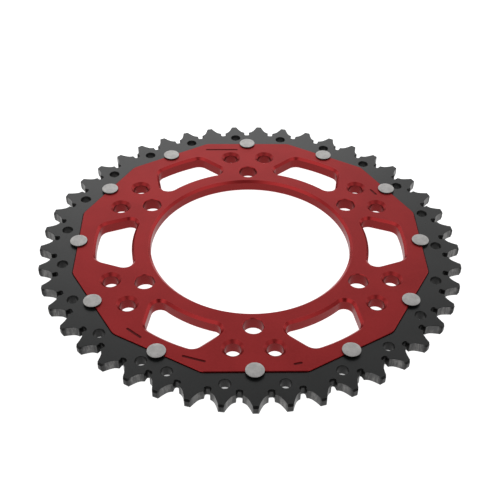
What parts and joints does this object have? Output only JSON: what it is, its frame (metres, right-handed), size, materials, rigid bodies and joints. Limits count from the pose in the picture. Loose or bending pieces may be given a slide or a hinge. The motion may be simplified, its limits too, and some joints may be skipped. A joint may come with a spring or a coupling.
{
  "type": "rear sprocket",
  "caption": "Motorcycle rear sprocket: toothed steel chain ring riveted round an aluminium carrier with a large bore, bolt holes, small countersunk holes and six windows.",
  "frame": {"origin": "centre of the bore, on the plane halfway through the toothed ring and the carrier (the chain line)", "axes": "+Z along the bore axis, out of the front face; the back face, which sits on the wheel hub, faces -Z. +Y passes through a bolt hole, rivet_01 and the root between two teeth"},
  "size_m": [0.2316, 0.2314, 0.0088],
  "materials": {
    "carrier": "red anodised, satin",
    "toothed_ring": "black coated steel, satin",
    "rivet": "bright steel, satin"
  },
  "bodies": {
    "root": {"carrier": "carrier", "toothed_ring": "toothed_ring", "rivet_01": "rivet", "rivet_02": "rivet", "rivet_03": "rivet", "rivet_04": "rivet", "rivet_05": "rivet", "rivet_06": "rivet", "rivet_07": "rivet", "rivet_08": "rivet", "rivet_09": "rivet", "rivet_10": "rivet", "rivet_11": "rivet", "rivet_12": "rivet"}
  },
  "joints": []
}
